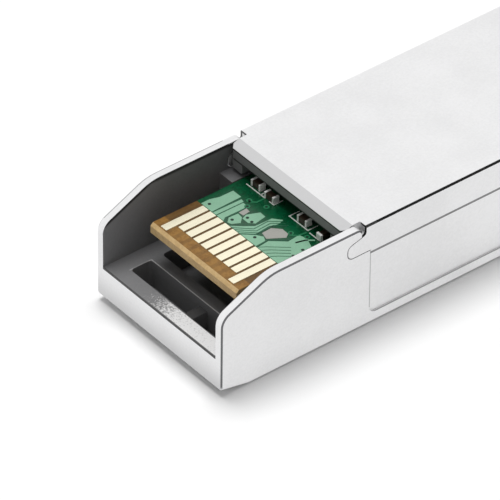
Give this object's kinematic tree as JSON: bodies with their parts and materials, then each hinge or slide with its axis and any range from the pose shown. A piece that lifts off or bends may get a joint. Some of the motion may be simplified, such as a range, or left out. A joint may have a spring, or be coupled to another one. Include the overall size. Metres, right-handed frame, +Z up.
{
  "type": "pluggable optical transceiver module",
  "caption": "Small pluggable fibre-optic transceiver: die-cast case with an open card-edge shroud, a lid, twin optical ports, a latch rocker and a wire bail.",
  "frame": {"origin": "on the resting face, halfway along the housing and across it", "axes": "+X from the card-edge end to the optical end, +Y across, +Z up from the closed label side to the side that faces the host board"},
  "size_m": [0.0564, 0.014, 0.0093],
  "materials": {
    "die_cast_base": "satin nickel plate on a die casting",
    "die_cast_lid": "satin nickel plate on a die casting",
    "screw_steel": "zinc-plated steel",
    "board_green": "green solder mask on glass laminate",
    "contact_gold": "hard gold plate",
    "chip_black": "moulded chip package",
    "capacitor_body": "fired ceramic with tinned ends",
    "resistor_body": "dark film on ceramic with tinned ends",
    "inductor_body": "pressed iron powder",
    "thermal_sheet": "soft filled silicone",
    "can_steel": "nickel-plated can",
    "barrel_steel": "turned stainless steel",
    "flex_amber": "amber flexible circuit",
    "clamp_steel": "blanked steel plate",
    "collar_steel": "sprung stainless sheet",
    "rocker_metal": "die-cast, satin plate",
    "pin_steel": "drawn steel pin",
    "spring_steel": "sprung stainless strip",
    "bail_steel": "bright drawn wire"
  },
  "bodies": {
    "housing": {"housing_base": "die_cast_base", "lid": "die_cast_lid", "lid_screws": "screw_steel", "circuit_board": "board_green", "contact_pads_top": "contact_gold", "contact_pads_bottom": "contact_gold", "driver_chip": "chip_black", "amplifier_chip": "chip_black", "controller_chip": "chip_black", "thermal_pad": "thermal_sheet", "chip_capacitors": "capacitor_body", "chip_resistors": "resistor_body", "power_inductors": "inductor_body", "transmitter_can": "can_steel", "receiver_can": "can_steel", "transmitter_barrel": "barrel_steel", "receiver_barrel": "barrel_steel", "transmitter_flex": "flex_amber", "receiver_flex": "flex_amber", "optics_clamp": "clamp_steel", "emi_collar": "collar_steel", "rocker_pin": "pin_steel", "latch_spring": "spring_steel"},
    "bail": {"bail": "bail_steel"},
    "latch_rocker": {"latch_rocker": "rocker_metal"}
  },
  "joints": [
    {"name": "bail_hinge", "type": "hinge", "parent": "housing", "child": "bail", "pos_m": [0.02605, 0, 0.0082], "axis": [0, -1, 0], "range_deg": [0, 90]},
    {"name": "latch_hinge", "type": "hinge", "parent": "housing", "child": "latch_rocker", "pos_m": [0.02075, 0, 0.00845], "axis": [0, -1, 0], "range_deg": [0, 7], "deforming": ["latch_spring"]}
  ],
  "couplings": [
    {"joint": "latch_hinge", "follows": "bail_hinge", "ratio": 0.0777}
  ]
}
